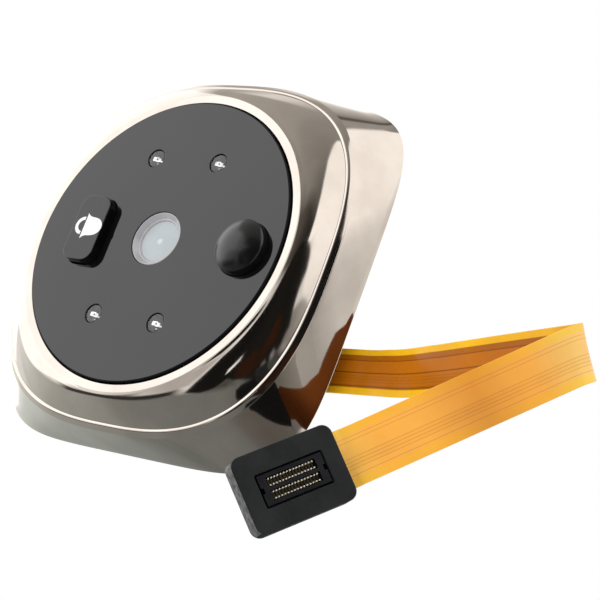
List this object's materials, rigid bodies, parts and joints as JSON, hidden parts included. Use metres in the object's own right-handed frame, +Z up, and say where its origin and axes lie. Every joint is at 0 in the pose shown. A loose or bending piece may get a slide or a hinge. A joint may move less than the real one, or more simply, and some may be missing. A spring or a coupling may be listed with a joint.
{
  "type": "peephole door camera",
  "caption": "Outdoor unit of a peephole door camera: polished rounded-square shell, round black face with camera window, infrared lamps, motion dome and doorbell button, and a ribbon with plug.",
  "frame": {"origin": "centre of the back face that lies on the door", "axes": "-Y out of the face towards the visitor, +Y into the door, +Z up from the doorbell button to the motion dome, +X right seen from the front"},
  "size_m": [0.0817, 0.0516, 0.121],
  "materials": {
    "plated_shell": "polished black-nickel plating on a cast shell",
    "gloss_black": "polished black",
    "white_print": "flat white print",
    "black_plastic": "fine moulded texture",
    "white_plastic": "moulded",
    "rubber": "moulded silicone",
    "foam": "closed-cell foam with an adhesive face",
    "clear_glass": "clear, coated",
    "lamp_clear": "water-clear moulded epoxy",
    "sensor_black": "moulded package",
    "board_green": "solder mask",
    "steel": "zinc-plated",
    "brass": "turned",
    "gold_contact": "gold-flashed",
    "polyimide": "amber film over copper"
  },
  "bodies": {
    "case": {"housing_shell": "plated_shell", "inner_frame": "black_plastic", "face_panel": "gloss_black", "panel_gasket": "rubber", "button_seal": "rubber", "switch_body": "black_plastic", "snap_dome": "steel", "lens_window": "clear_glass", "light_baffle": "rubber", "lens_barrel": "black_plastic", "front_lens": "clear_glass", "rear_lens": "clear_glass", "lens_holder": "black_plastic", "image_sensor": "sensor_black", "sensor_board": "board_green", "module_spacer": "rubber", "pir_dome": "gloss_black", "pir_sensor": "steel", "ir_lamps": "lamp_clear", "lamp_leads": "steel", "main_board": "board_green", "board_chips": "sensor_black", "ribbon_socket": "white_plastic", "board_screws": "steel", "back_cover": "black_plastic", "cover_screws": "steel", "threaded_inserts": "brass", "ribbon_grommet": "rubber", "mounting_pad": "foam", "ribbon_cable": "polyimide", "plug_block": "black_plastic", "plug_connector": "gloss_black", "plug_contacts": "gold_contact"},
    "button": {"doorbell_button": "gloss_black", "bell_mark": "white_print"},
    "plunger": {"switch_plunger": "white_plastic"}
  },
  "joints": [
    {"name": "button_press", "type": "slide", "parent": "case", "child": "button", "axis": [0, 1, 0], "range_m": [0, 0.0005], "stiffness_N_per_m": 3200},
    {"name": "plunger_travel", "type": "slide", "parent": "case", "child": "plunger", "axis": [0, 1, 0], "range_m": [0, 0.0005], "deforming": ["snap_dome"]}
  ],
  "couplings": [
    {"joint": "plunger_travel", "follows": "button_press", "ratio": 1}
  ]
}
